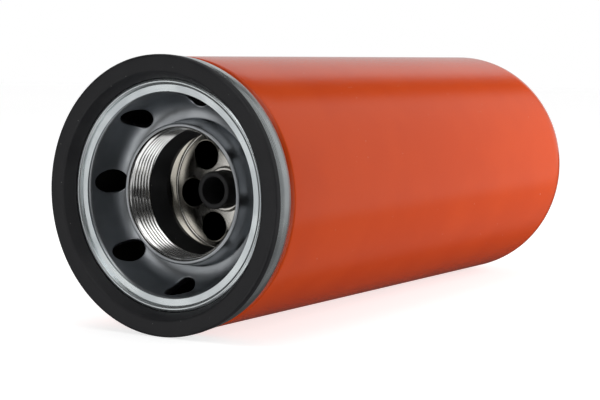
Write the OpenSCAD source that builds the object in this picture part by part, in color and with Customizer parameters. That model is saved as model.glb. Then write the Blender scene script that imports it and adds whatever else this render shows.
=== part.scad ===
// Heavy-duty spin-on oil filter with a full-flow element and a bypass element.
// Axis along Y, open mounting end facing -Y, closed end facing +Y, Z up.
// Origin: on the axis at the first crest of the mounting thread.

/* [Can] */
// Outside diameter of the can
can_d = 118; // [95:0.5:150]
// Length from the gasket face to the closed end
total_len = 304; // [240:1:380]
// Corner radius of the closed end
end_radius = 29.4; // [12:0.1:40]
// Sheet thickness of the can
can_wall = 0.9; // [0.6:0.1:1.4]

/* [Gasket and seam] */
// How far the gasket's outer edge stands past the can's wall
gasket_overhang = 0.9; // [0.2:0.1:2]
// Width of the gasket's flat sealing face
face_w = 5.8; // [3:0.1:8]
// Thickness of the gasket's rim that lies on the seam
rim_t = 4; // [2:0.1:6]
// Depth of the gasket from its face to the floor of its groove
gasket_depth = 9.7; // [7:0.1:14]
// Width of the groove that holds the gasket
groove_w = 5.9; // [4:0.1:9]
// How far the rolled seam stands past the can's wall
seam_overhang = 0.5; // [0.1:0.1:1.5]
// Length of the rolled seam along the axis
seam_len = 9.4; // [5:0.1:12]
// Sheet thickness of the layers in the seam
seam_sheet = 0.7; // [0.5:0.05:1]
// Width of the seam lid's flat inner ring
ring_w = 2.9; // [1.5:0.1:6]
// Depth of the seam lid's flat inner ring below the gasket face
ring_depth = 6.9; // [5:0.1:9]

/* [Nut plate] */
// Major diameter of the mounting thread
thread_d = 57.15; // [40:0.01:75]
// Pitch of the mounting thread
thread_pitch = 2.1167; // [1:0.0001:3]
// Number of full threads in the collar
thread_turns = 6; // [3:1:9]
// Depth of the thread's first crest below the gasket face
thread_depth = 17.2; // [8:0.1:30]
// Thickness of the nut plate
plate_t = 3.3; // [2:0.1:5]
// Radial width of the collar's rim round the thread
collar_w = 3.1; // [2:0.1:6]
// How far the collar widens from its rim to its foot
collar_flare = 1.5; // [0.5:0.1:3]
// Depth of the entry chamfer in front of the first crest
entry_len = 1.3; // [0.5:0.1:3]
// Radius of the dish's turn from its wall into the valley round the collar
dish_r = 9; // [4:0.1:12]
// Width of each inlet hole
inlet_w = 10; // [5:0.1:12]
// Length of each inlet hole along the dish's slope
inlet_len = 17; // [10:0.1:20]
// How far each inlet hole sits below the middle of the slope
inlet_shift = 1.2; // [0:0.1:2]
// Number of inlet holes
inlet_count = 8; // [4:1:12]
// Angle of the first inlet hole from +X towards +Z
inlet_phase = 40; // [0:1:90]

/* [Top cap and outlet cup] */
// Height of the rubber seal between the nut plate and the top cap
seal_h = 9.2; // [5:0.1:14]
// How far the seal's lip covers the mouth of the cup
seal_lip_w = 2.8; // [1:0.1:5]
// Radial width of the seal's foot on the top cap
seal_foot_w = 8.4; // [5:0.1:12]
// How far the cup's wall stands inside the thread's major radius
cup_inset = 0.575; // [0:0.005:4]
// Depth of the outlet cup below the top cap
cup_depth = 10.5; // [7:0.1:16]
// Sheet thickness of the end caps
cap_wall = 0.8; // [0.5:0.1:1.2]
// Diameter of each outlet hole in the cup
outlet_d = 13.2; // [8:0.1:14]
// Number of outlet holes in the cup
outlet_count = 6; // [3:1:8]
// Angle of the first outlet hole from +X towards +Z
outlet_phase = 7.4; // [0:0.1:60]
// Height of the cup's hub above the cup's floor
hub_h = 2.6; // [1:0.1:5]
// Wall of the cup's hub
hub_wall = 1.4; // [0.8:0.1:3]

/* [Bypass nozzle] */
// Outside diameter of the bypass nozzle
nozzle_d = 16.8; // [12:0.1:22]
// Bore of the bypass nozzle
nozzle_bore = 12; // [8:0.1:16]
// How far the nozzle stands out of the cup's hub
nozzle_out = 8.1; // [3:0.1:12]

/* [Full-flow element] */
// Oil passage left between the elements and the can
side_gap = 5.2; // [3:0.1:9]
// Number of pleats
pleats = 54; // [30:1:80]
// Thickness of the adhesive beads that hold the media in its caps
bead_t = 2.4; // [1:0.1:5]
// Height of the caps' outer skirts
skirt_h = 6; // [3:0.1:10]
// Wall of the perforated tubes
tube_wall = 0.8; // [0.5:0.1:1.2]
// Diameter of the perforations
perf_d = 6; // [3:0.1:8]
// Perforations round the full-flow tube
perf_count = 12; // [6:1:18]
// Rows of perforations in the full-flow tube
perf_rows = 8; // [3:1:14]

/* [Bypass element] */
// Gap between the full-flow element and the bypass element
divider_gap = 2; // [1:0.1:6]
// Number of filter discs
disc_count = 11; // [6:1:16]
// Thickness of each filter disc
disc_t = 6.4; // [3:0.1:10]
// Gap between filter discs
disc_gap = 0.8; // [0.4:0.1:3]
// Outside diameter of the bypass centre tube
bypass_tube_d = 25; // [20:0.1:34]
// Radial width of the hub rings between the discs
hub_ring_w = 4; // [2:0.1:8]

/* [Spring] */
// Height of the coil spring between its seat and the closed end
spring_h = 39.7; // [24:0.1:60]
// Wire diameter of the coil spring
wire_d = 3.4; // [2:0.1:5]
// Outside diameter of the coil spring
coil_d = 46; // [36:0.5:56]
// Number of coils
coils = 3.5; // [2.5:0.5:6]
// Sheet thickness of the spring seat
seat_wall = 1; // [0.6:0.1:2]

/* [Hidden] */
$fn = 96;
// clearance between pieces that nest in each other
nest = 0.1;
// clearance between the layers of the seam
lap = 0.06;
// overshoot of cutting bodies
cut = 1;

can_r = can_d / 2;
face_y = -thread_depth;
end_y = face_y + total_len;
can_in_r = can_r - can_wall;

// rolled seam, counted from its outer layer inwards
seam_r = can_r + seam_overhang;
seam_top = face_y + rim_t;
seam_end = seam_top + seam_len;
layer = seam_sheet + lap;
// where the can leaves the seam, and the length of its shoulder there
neck_y = seam_end + 0.5;
shoulder = 1.8;
groove_out_r = seam_r - 4 * layer - seam_sheet;
groove_in_r = groove_out_r - groove_w;
groove_floor = face_y + gasket_depth;
ring_y = face_y + ring_depth;
bead_r = 1.35;
ring_out_r = groove_in_r - 2 * bead_r;
ring_in_r = ring_out_r - ring_w;

// nut plate
crest_r = thread_d / 2 - 0.541266 * thread_pitch;
rim_y = -entry_len;
rim_r = crest_r + collar_w;
foot_r = rim_r + collar_flare;
thread_len = (thread_turns + 0.25) * thread_pitch;
plate_back = thread_len + 0.2;
valley_y = plate_back - plate_t;
flange_y = ring_y + seam_sheet + lap;
flange_r = groove_in_r - seam_sheet - nest;
wall_r = ring_in_r - 0.6;
wall_slope = 1.1;
valley_r = foot_r + 1.9;
// the dish's turn, which the room between its wall and the collar's foot limits
dish_turn = min(dish_r, wall_r - wall_slope - foot_r - 1.5);
turn_r = wall_r - wall_slope - dish_turn;
turn_y = valley_y - dish_turn;
// inlet holes run square to the chord from the top of the wall to the valley
chord_top = [wall_r + 0.2, flange_y + 2.2];
chord_foot = [turn_r + dish_turn * cos(72), turn_y + dish_turn * sin(72)];
chord_mid = (chord_top + chord_foot) / 2;
chord_tilt = atan2(chord_top[0] - chord_foot[0], chord_foot[1] - chord_top[1]);

// top cap, seal and cup
cap_y = plate_back + seal_h;
cap_r = can_in_r - side_gap;
cup_r = thread_d / 2 - cup_inset;
floor_y = cap_y + cup_depth;
hub_y = floor_y - hub_h;
nozzle_r = nozzle_d / 2;
hub_r = nozzle_r + nest + hub_wall;
nozzle_top = hub_y - nozzle_out;
outlet_pitch_r = (hub_r + cup_r) / 2 - 0.3;
outlet_r = outlet_d / 2;

// spring and seat, placed from the closed end
spring_end = end_y - can_wall;
spring_y = spring_end - spring_h;
seat_y = spring_y - seat_wall;
coil_r = (coil_d - wire_d) / 2;

// bypass element
bypass_r = bypass_tube_d / 2;
disc_in_r = bypass_r + nest;
disc_r = cap_r - 1.6;
base_y = seat_y - cap_wall;
disc_end = base_y - nest;
disc_y = disc_end - disc_count * disc_t - (disc_count - 1) * disc_gap;
top_plate_y = disc_y - nest - cap_wall;
grommet_r = nozzle_r + 3.6;

// full-flow element, which fills what length is left
turn_clear = 1.2;
tube_in_r = cup_r + cap_wall + nest;
tube_r = tube_in_r + tube_wall;
bead_y = cap_y + cap_wall;
media_y = bead_y + bead_t;
bottom_y = top_plate_y - divider_gap - cap_wall;
media_end = bottom_y - bead_t;
media_h = media_end - media_y;
media_r = cap_r - cap_wall - 0.7;
media_in_r = tube_r + 0.5;
// radial depth of the sheet's folds, and where the gap between two folds begins
fold_r = 7;
fold_gap_r = media_in_r + fold_r;
// clip between two folds: its width, and where the gap is wide enough for it
clip_w = 1.1;
clip_in_r = fold_gap_r + (clip_w / 2 + 3 * nest) * (media_r - fold_gap_r) / (media_r * sin(180 / pleats));

orange = [0.87, 0.33, 0.12];
bare_steel = [0.72, 0.72, 0.72];
zinc = [0.66, 0.69, 0.74];
rubber = [0.12, 0.12, 0.13];
cellulose = [0.85, 0.78, 0.60];
adhesive = [0.75, 0.45, 0.20];
black_plastic = [0.07, 0.07, 0.07];

// turns a body drawn along +Z so that its axis is the filter's axis
module along_axis(y = 0) {
  translate([0, y, 0]) rotate([-90, 0, 0]) children();
}

// revolves a profile whose points are [radius, distance along the axis]
module revolved() {
  along_axis() rotate_extrude() children();
}

// places children at a ring of angles, counted from +X towards +Z
module ring(count, pitch_r, phase = 0) {
  for (i = [0 : count - 1])
    rotate([0, -(phase + i * 360 / count), 0]) translate([pitch_r, 0, 0]) children();
}

// points of an arc in the profile plane
function arc(r, y, radius, from, to, steps = 8) =
  [for (i = [0 : steps]) let (a = from + (to - from) * i / steps)
    [r + radius * cos(a), y + radius * sin(a)]];

// rectangle in the profile plane
module box2d(r0, r1, y0, y1) {
  translate([r0, y0]) square([r1 - r0, y1 - y0]);
}

// drawn can: neck hooked into the seam, straight wall, rounded closed end
module shell() {
  color(orange) revolved() {
    difference() {
      can_outline(0);
      can_outline(can_wall);
    }
    // wall and hook inside the seam
    box2d(seam_r - 3 * layer - seam_sheet, seam_r - 3 * layer, seam_top + 2 * layer, neck_y + 0.01);
    box2d(seam_r - 3 * layer - seam_sheet, seam_r - layer, seam_top + layer, seam_top + 2 * layer);
    box2d(seam_r - layer - seam_sheet, seam_r - layer, seam_top + 2 * layer, seam_end - 1.6);
  }
}

// rectangle whose outer front corner is rounded
module round_box(r0, r1, y0, y1, radius) {
  box2d(r0, r1 - radius, y0, y1);
  box2d(r0, r1, y0 + radius, y1);
  translate([r1 - radius, y0 + radius]) circle(radius);
}

// the can's outline from its neck to the closed end, moved inwards by inset
module can_outline(inset) {
  r = can_r - inset;
  round_r = end_radius - inset;
  neck_r = seam_r - 3 * layer - (inset > 0 ? seam_sheet : 0);
  y0 = neck_y - (inset > 0 ? cut : 0);
  polygon([[0, y0], [neck_r, y0], [neck_r, neck_y], [r, neck_y + shoulder], [r, end_y - end_radius],
           [can_r - end_radius, end_y - end_radius], [can_r - end_radius, end_y - inset], [0, end_y - inset]]);
  intersection() {
    translate([can_r - end_radius, end_y - end_radius]) circle(round_r);
    box2d(can_r - end_radius, can_r, end_y - end_radius, end_y);
  }
}

// seam lid: rolled seam, gasket groove and flat ring on the nut plate
module seam_lid() {
  turn = 1;
  floor_back = groove_floor + seam_sheet;
  hook_r = seam_r - 2 * layer - seam_sheet;
  color(bare_steel) revolved() {
    // rolled seam: rounded outer wall, closed top, and the hook inside the can's hook
    difference() {
      union() {
        box2d(hook_r, seam_r - turn, seam_top, seam_end);
        box2d(hook_r, seam_r, seam_top + turn, seam_end - turn);
        for (y = [seam_top + turn, seam_end - turn]) translate([seam_r - turn, y]) circle(turn);
      }
      box2d(hook_r + seam_sheet, seam_r - seam_sheet, seam_top + seam_sheet, seam_end - seam_sheet);
      box2d(hook_r - cut, hook_r + 2 * seam_sheet, seam_top + seam_sheet, seam_top + seam_sheet + 2.2 * layer);
    }
    box2d(groove_out_r, hook_r + seam_sheet, seam_top, seam_top + seam_sheet);
    // inner wall, groove floor and inner wall of the groove
    box2d(groove_out_r, groove_out_r + seam_sheet, seam_top, floor_back);
    box2d(groove_in_r - seam_sheet, groove_out_r + seam_sheet, groove_floor, floor_back);
    box2d(groove_in_r - seam_sheet, groove_in_r, ring_y, floor_back);
    // rounded bead inside the gasket, then the flat ring
    difference() {
      translate([groove_in_r - bead_r, ring_y]) circle(bead_r);
      translate([groove_in_r - bead_r, ring_y]) circle(bead_r - seam_sheet);
      box2d(ring_out_r - cut, groove_in_r + cut, ring_y + seam_sheet / 2, ring_y + 2 * bead_r);
    }
    box2d(ring_in_r, ring_out_r + seam_sheet, ring_y, ring_y + seam_sheet);
  }
}

// gasket: foot in the groove, rim on the seam, flat face, sloping inner side
module gasket() {
  rim_r = can_r + gasket_overhang;
  round_r = 1.2;
  face_in_r = rim_r - round_r - face_w;
  foot_in_r = groove_in_r + nest;
  foot_out_r = groove_out_r - nest;
  color(rubber) revolved()
    polygon(concat(
      [[foot_in_r, groove_floor], [foot_in_r, ring_y - bead_r + 0.1]],
      arc(face_in_r, face_y + 0.8, 0.8, 210, 270, 4),
      arc(rim_r - round_r, face_y + round_r, round_r, -90, 0),
      [[rim_r, seam_top - 0.6], [rim_r - 0.6, seam_top], [foot_out_r, seam_top], [foot_out_r, groove_floor]]));
}

// outline of the dished plate, front face from the flange inwards, then the back
module dish_outline() {
  bend = 1.6;
  polygon(concat(
    [[flange_r, flange_y]],
    arc(wall_r + bend, flange_y + bend, bend, -90, -172, 6),
    arc(turn_r, turn_y, dish_turn, 7, 90, 12),
    [[valley_r - 0.5, valley_y], [valley_r - 0.5, plate_back]],
    arc(turn_r, turn_y, dish_turn + plate_t, 90, 7, 12),
    [[wall_r + plate_t, flange_y + plate_t + 0.8], [wall_r + plate_t + 0.8, flange_y + plate_t],
     [flange_r, flange_y + plate_t]]));
}

// outline of the collar: foot fillet, rim, entry chamfer and threaded wall
module collar_outline() {
  fillet = 2.4;
  edge = 1;
  polygon(concat(
    [[valley_r, plate_back], [valley_r, valley_y]],
    arc(foot_r + fillet, valley_y - fillet, fillet, 100, 172, 6),
    arc(rim_r - edge, rim_y + edge, edge, 0, -90, 5),
    [[crest_r + 1.7, rim_y], [crest_r + 1.2, rim_y + 0.4], [crest_r, 0], [crest_r, plate_back - 0.2],
     [crest_r + 0.2, plate_back]]));
}

// nut plate: thick dished plate with the threaded collar and the inlet holes
module nut_plate() {
  color(zinc) difference() {
    revolved() {
      dish_outline();
      collar_outline();
    }
    for (i = [0 : thread_turns - 1]) thread_groove((i + 0.25) * thread_pitch);
    ring(inlet_count, chord_mid[0], inlet_phase)
      translate([0, chord_mid[1], 0]) rotate([0, 0, chord_tilt]) translate([0, inlet_shift, 0]) inlet_drill();
  }
}

// cutter for one inlet hole: a slot with round ends, its depth along +X
module inlet_drill() {
  reach = plate_t + 4;
  flat = inlet_len - inlet_w;
  for (end = [-1, 1]) translate([-2.2, end * flat / 2, 0]) rotate([0, 90, 0])
    cylinder(d = inlet_w, h = reach + 2.2);
  translate([-2.2, -flat / 2, -inlet_w / 2]) cube([reach + 2.2, flat, inlet_w]);
}

// one groove of the thread, with its crest-side width three quarters of the pitch
module thread_groove(y) {
  root_r = thread_d / 2;
  slope = thread_pitch * 5 / 16;
  revolved()
    polygon([[crest_r - cut, y], [crest_r, y], [root_r, y + slope],
             [root_r, y + slope + thread_pitch / 8], [crest_r, y + thread_pitch * 0.75],
             [crest_r - cut, y + thread_pitch * 0.75]]);
}

// rubber seal between the nut plate and the top cap, with a spigot in the cup
module element_seal() {
  lip_r = cup_r - seal_lip_w;
  color(rubber) revolved()
    polygon([[crest_r + 1.4, plate_back], [cup_r + seal_foot_w - 1.4, plate_back],
             [cup_r + seal_foot_w, plate_back + 2], [cup_r + seal_foot_w, cap_y],
             [cup_r + 0.9, cap_y], [cup_r - nest, cap_y + 0.9], [cup_r - nest, cap_y + 2.4],
             [lip_r + 1.2, cap_y + 2.4], [lip_r, cap_y + 1.2], [lip_r, cap_y - 0.8]]);
}

// top cap: skirt, annular plate, outlet cup with its holes, and hub
module top_cap() {
  turn = 1.7;
  cup_out_r = cup_r + cap_wall;
  floor_back = floor_y + cap_wall;
  color(zinc) difference() {
    revolved() {
      // skirt and plate
      difference() {
        round_box(cup_r + turn, cap_r, cap_y, cap_y + skirt_h, turn);
        box2d(cup_r, cap_r - cap_wall, cap_y + cap_wall, cap_y + skirt_h + cut);
      }
      // cup with a rounded mouth
      difference() {
        union() {
          box2d(cup_r, cup_out_r + turn, cap_y, cap_y + turn);
          box2d(cup_r, cup_out_r, cap_y, floor_back - turn);
        }
        difference() {
          box2d(cup_r - cut, cup_r + turn, cap_y - cut, cap_y + turn);
          translate([cup_r + turn, cap_y + turn]) circle(turn);
        }
        box2d(cup_out_r, cup_out_r + turn + cut, cap_y + cap_wall, cap_y + turn + cut);
      }
      // rounded corner, floor and hub
      difference() {
        translate([cup_out_r - turn, floor_back - turn]) circle(turn);
        translate([cup_out_r - turn, floor_back - turn]) circle(turn - cap_wall);
        box2d(cup_r - 2 * turn, cup_out_r - turn - 0.1, floor_back - 3 * turn, floor_back + cut);
        box2d(cup_r - 2 * turn, cup_out_r + cut, floor_back - 3 * turn, floor_back - turn - 0.1);
      }
      box2d(hub_r - hub_wall, cup_out_r - turn, floor_y, floor_back);
      round_box(hub_r - hub_wall, hub_r, hub_y, floor_back, 0.6);
    }
    ring(outlet_count, outlet_pitch_r, outlet_phase)
      along_axis(floor_y - cut) cylinder(r = outlet_r, h = cap_wall + 2 * cut);
  }
}

// bypass nozzle: tube from the outlet cup down to the bypass element
module bypass_nozzle() {
  nozzle_end = disc_y + disc_t;
  color(black_plastic) difference() {
    union() {
      along_axis(nozzle_top + 0.6) cylinder(r = nozzle_r, h = nozzle_end - nozzle_top - 0.6);
      along_axis(nozzle_top) cylinder(r1 = nozzle_r - 0.6, r2 = nozzle_r, h = 0.6);
      // flange that rests against the back of the cup
      along_axis(floor_y + cap_wall + nest) cylinder(r = hub_r + 0.2, h = 1.6);
    }
    along_axis(nozzle_top - cut) cylinder(d = nozzle_bore, h = nozzle_end - nozzle_top + 2 * cut);
  }
}

// drills for one row of perforations through a tube wall that spans r0 to r1
module perforations(count, y, phase, r0, r1) {
  for (i = [0 : count - 1])
    translate([0, y, 0]) rotate([0, phase + i * 360 / count, 0])
      translate([r0 - cut, 0, 0]) rotate([0, 90, 0]) cylinder(d = perf_d, h = r1 - r0 + 2 * cut);
}

// perforated tube inside the pleat pack
module full_flow_tube() {
  first = floor_y + cap_wall + perf_d;
  last = bottom_y - skirt_h - perf_d;
  color(zinc) difference() {
    along_axis(bead_y + nest + turn_clear)
      difference() {
        cylinder(r = tube_r, h = media_end + bead_t - bead_y - nest - turn_clear);
        translate([0, 0, -cut]) cylinder(r = tube_in_r, h = total_len);
      }
    for (i = [0 : perf_rows - 1])
      perforations(perf_count, first + (last - first) * i / (perf_rows - 1), (i % 2) * 180 / perf_count,
                   tube_in_r, tube_r);
  }
}

// pleated media sheet
module full_flow_media() {
  function zigzag(r_out, r_in) =
    [for (i = [0 : 2 * pleats - 1]) let (a = i * 180 / pleats, r = i % 2 == 0 ? r_out : r_in)
      [r * cos(a), r * sin(a)]];
  color(cellulose) along_axis(media_y) linear_extrude(media_h) difference() {
    polygon(zigzag(media_r, fold_gap_r));
    polygon(zigzag(media_r - fold_r, media_in_r));
  }
}

// metal clip that closes the ends of the pleated sheet
module media_clip() {
  a = 180 / pleats;
  color(bare_steel) rotate([0, -a, 0])
    translate([clip_in_r, media_y + clip_w, -clip_w / 2])
      cube([media_r - clip_in_r - clip_w / 2, media_h - 2 * clip_w, clip_w]);
}

// adhesive bead under the top cap
module top_bead() {
  color(adhesive) along_axis(bead_y) difference() {
    cylinder(r = cap_r - cap_wall - nest - 0.3, h = bead_t);
    translate([0, 0, -cut]) cylinder(r = tube_r + nest, h = bead_t + 2 * cut);
  }
}

// adhesive bead in the bottom cap
module bottom_bead() {
  color(adhesive) along_axis(media_end) difference() {
    cylinder(r = cap_r - cap_wall - nest - 0.3, h = bead_t);
    translate([0, 0, -cut]) cylinder(r = tube_r + nest, h = bead_t + 2 * cut);
  }
}

// bottom cap of the full-flow element: plate, skirt and a collar for the grommet
module bottom_cap() {
  collar_h = 5;
  color(zinc) revolved() {
    box2d(cap_r - cap_wall, cap_r, bottom_y - skirt_h + cap_wall, bottom_y + cap_wall);
    box2d(grommet_r, cap_r, bottom_y, bottom_y + cap_wall);
    box2d(grommet_r, grommet_r + cap_wall, bottom_y - collar_h, bottom_y + cap_wall);
  }
}

// rubber grommet that seals the nozzle in the bottom cap
module nozzle_grommet() {
  color(rubber) along_axis(bottom_y - 4.4) difference() {
    cylinder(r = grommet_r - nest, h = 4.4 + cap_wall);
    translate([0, 0, -cut]) cylinder(r = nozzle_r + nest, h = 5 + cap_wall + 2 * cut);
  }
}

// top plate of the bypass element, with a raised collar round the nozzle
module bypass_top_plate() {
  color(zinc) revolved() {
    box2d(nozzle_r + nest, disc_r, top_plate_y, top_plate_y + cap_wall);
    box2d(nozzle_r + nest, nozzle_r + nest + cap_wall, top_plate_y - divider_gap / 2, top_plate_y + cap_wall);
    box2d(disc_r - cap_wall, disc_r, top_plate_y, top_plate_y + cap_wall);
  }
}

function disc_start(i) = disc_y + i * (disc_t + disc_gap);

// stack of pressed filter discs
module filter_discs() {
  edge = 1;
  color(cellulose) for (i = [0 : disc_count - 1]) revolved()
    polygon([[disc_in_r, disc_start(i)], [disc_r - edge, disc_start(i)], [disc_r, disc_start(i) + edge],
             [disc_r, disc_start(i) + disc_t - edge], [disc_r - edge, disc_start(i) + disc_t],
             [disc_in_r, disc_start(i) + disc_t]]);
}

// hub rings that space the discs and seal them to each other
module hub_rings() {
  color(bare_steel) for (i = [0 : disc_count - 2])
    along_axis(disc_start(i) + disc_t) difference() {
      cylinder(r = disc_in_r + hub_ring_w, h = disc_gap);
      translate([0, 0, -cut]) cylinder(r = disc_in_r, h = disc_gap + 2 * cut);
    }
}

// perforated tube through the filter discs
module bypass_tube() {
  bore_r = bypass_r - tube_wall;
  first = disc_y + disc_t * 2;
  last = disc_end - disc_t;
  rows = 5;
  color(zinc) difference() {
    along_axis(disc_y) difference() {
      cylinder(r = bypass_r, h = disc_end - disc_y);
      translate([0, 0, -cut]) cylinder(r = bore_r, h = disc_end - disc_y + 2 * cut);
    }
    for (i = [0 : rows - 1]) perforations(6, first + (last - first) * i / (rows - 1), (i % 2) * 30, bore_r, bypass_r);
  }
}

// closed base plate of the bypass element, with a skirt
module bypass_base_plate() {
  color(zinc) revolved() {
    box2d(0, disc_r, base_y, base_y + cap_wall);
    box2d(disc_r + nest, disc_r + nest + cap_wall, base_y - skirt_h, base_y + cap_wall);
    box2d(disc_r - cap_wall, disc_r + nest + cap_wall, base_y, base_y + cap_wall);
  }
}

// pressed spring seat with a raised boss that centres the coil
module spring_seat() {
  boss_r = coil_r - wire_d / 2 - 0.6;
  boss_h = 3;
  color(bare_steel) revolved() {
    box2d(boss_r - seat_wall, coil_r + wire_d + 1, seat_y, seat_y + seat_wall);
    box2d(boss_r - seat_wall, boss_r, seat_y, seat_y + boss_h);
    box2d(6, boss_r, seat_y + boss_h - seat_wall, seat_y + boss_h);
  }
}

// coil spring with ends ground flat between the seat and the closed end
module spring() {
  steps_per_coil = 16;
  steps = coils * steps_per_coil;
  wire_r = wire_d / 2;
  low = spring_y + wire_r * 0.7;
  high = spring_end - wire_r * 0.7;
  function rise(t) = low + (high - low) * min(1, max(0, (t * coils - 0.6) / (coils - 1.2)));
  module slice(i) {
    rotate([0, -i * 360 / steps_per_coil, 0]) translate([coil_r, rise(i / steps), 0])
      cylinder(r = wire_r, h = 0.02, $fn = 14);
  }
  color(bare_steel) intersection() {
    union() for (i = [0 : steps - 1]) hull() {
      slice(i);
      slice(i + 1);
    }
    along_axis(spring_y) cylinder(r = coil_d, h = spring_h);
  }
}

shell();
seam_lid();
gasket();
nut_plate();
element_seal();
top_cap();
bypass_nozzle();
full_flow_tube();
full_flow_media();
media_clip();
top_bead();
bottom_bead();
bottom_cap();
nozzle_grommet();
bypass_top_plate();
filter_discs();
hub_rings();
bypass_tube();
bypass_base_plate();
spring_seat();
spring();
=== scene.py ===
"""Looks of a heavy-duty spin-on oil filter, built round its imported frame.

The filter's axis runs along Y. Its open mounting end faces -Y, its closed end faces +Y, and it lies on its
side on the floor. Lengths are in millimetres until a mesh is made, and in metres in the scene.
"""

import logging
import math
from dataclasses import dataclass, field
from enum import Enum
from typing import Callable, Sequence

import bmesh
import bpy
from mathutils import Matrix, Vector

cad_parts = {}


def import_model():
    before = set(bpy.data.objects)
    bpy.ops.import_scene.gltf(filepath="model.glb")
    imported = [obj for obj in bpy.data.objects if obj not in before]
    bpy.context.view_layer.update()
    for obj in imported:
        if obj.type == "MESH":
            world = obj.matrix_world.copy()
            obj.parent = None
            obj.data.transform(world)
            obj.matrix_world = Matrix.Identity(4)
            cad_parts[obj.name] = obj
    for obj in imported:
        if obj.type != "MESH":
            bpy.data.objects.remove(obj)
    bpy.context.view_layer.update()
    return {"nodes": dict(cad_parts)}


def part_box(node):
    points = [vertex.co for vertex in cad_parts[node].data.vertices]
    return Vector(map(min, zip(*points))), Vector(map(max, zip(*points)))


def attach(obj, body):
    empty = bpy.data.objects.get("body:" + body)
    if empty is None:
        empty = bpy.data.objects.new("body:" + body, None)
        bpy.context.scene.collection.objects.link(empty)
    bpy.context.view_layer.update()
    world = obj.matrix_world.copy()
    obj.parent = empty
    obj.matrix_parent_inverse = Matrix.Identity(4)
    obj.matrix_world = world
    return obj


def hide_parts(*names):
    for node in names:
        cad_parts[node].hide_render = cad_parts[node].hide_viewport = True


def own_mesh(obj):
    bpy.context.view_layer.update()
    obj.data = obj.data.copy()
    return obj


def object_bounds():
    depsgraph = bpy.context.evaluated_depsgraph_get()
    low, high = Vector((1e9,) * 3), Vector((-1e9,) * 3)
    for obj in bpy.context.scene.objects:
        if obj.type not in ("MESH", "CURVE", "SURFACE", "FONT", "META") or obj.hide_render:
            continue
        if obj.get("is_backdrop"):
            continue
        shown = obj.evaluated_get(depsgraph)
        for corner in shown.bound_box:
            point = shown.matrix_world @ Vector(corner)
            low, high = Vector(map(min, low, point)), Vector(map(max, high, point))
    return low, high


LOG = logging.getLogger("oil_filter")
MM = 0.001
INNER_FACE = "inner_face"

BUMP_HEIGHT = 0.0002
WHITE = (1.0, 1.0, 1.0)
EDGE_STEPS = 4
RING_GROWTH = 1.4

Point2 = tuple[float, float]
Point3 = tuple[float, float, float]
Colour = tuple[float, float, float]
Tree = bpy.types.NodeTree
Socket = bpy.types.NodeSocket
Node = bpy.types.Node
Material = bpy.types.Material
Object = bpy.types.Object
BMesh = bmesh.types.BMesh
BMVert = bmesh.types.BMVert


class Body(Enum):
    """The rigid bodies that a piece can ride on."""

    HOUSING = "housing"
    ELEMENTS = "element_pack"


class Slot(Enum):
    """The record's material slots."""

    CAN = "can_paint"
    BARE = "bare_steel"
    ZINC = "zinc_plate"
    GASKET = "gasket_rubber"
    SEAL = "seal_rubber"
    CAP = "cap_steel"
    NOZZLE = "nozzle_plastic"
    PAPER = "media_paper"
    DISC = "disc_cellulose"
    ADHESIVE = "adhesive"
    SPRING = "spring_steel"


# ---- Shader helpers


def set_inputs(node: Node, **values: object) -> None:
    """Sets a node's input sockets.

    Args:
        node: The node.
        values: Values by socket name, with spaces written as underscores.
    """
    for name, value in values.items():
        node.inputs[name.replace("_", " ")].default_value = value


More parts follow.
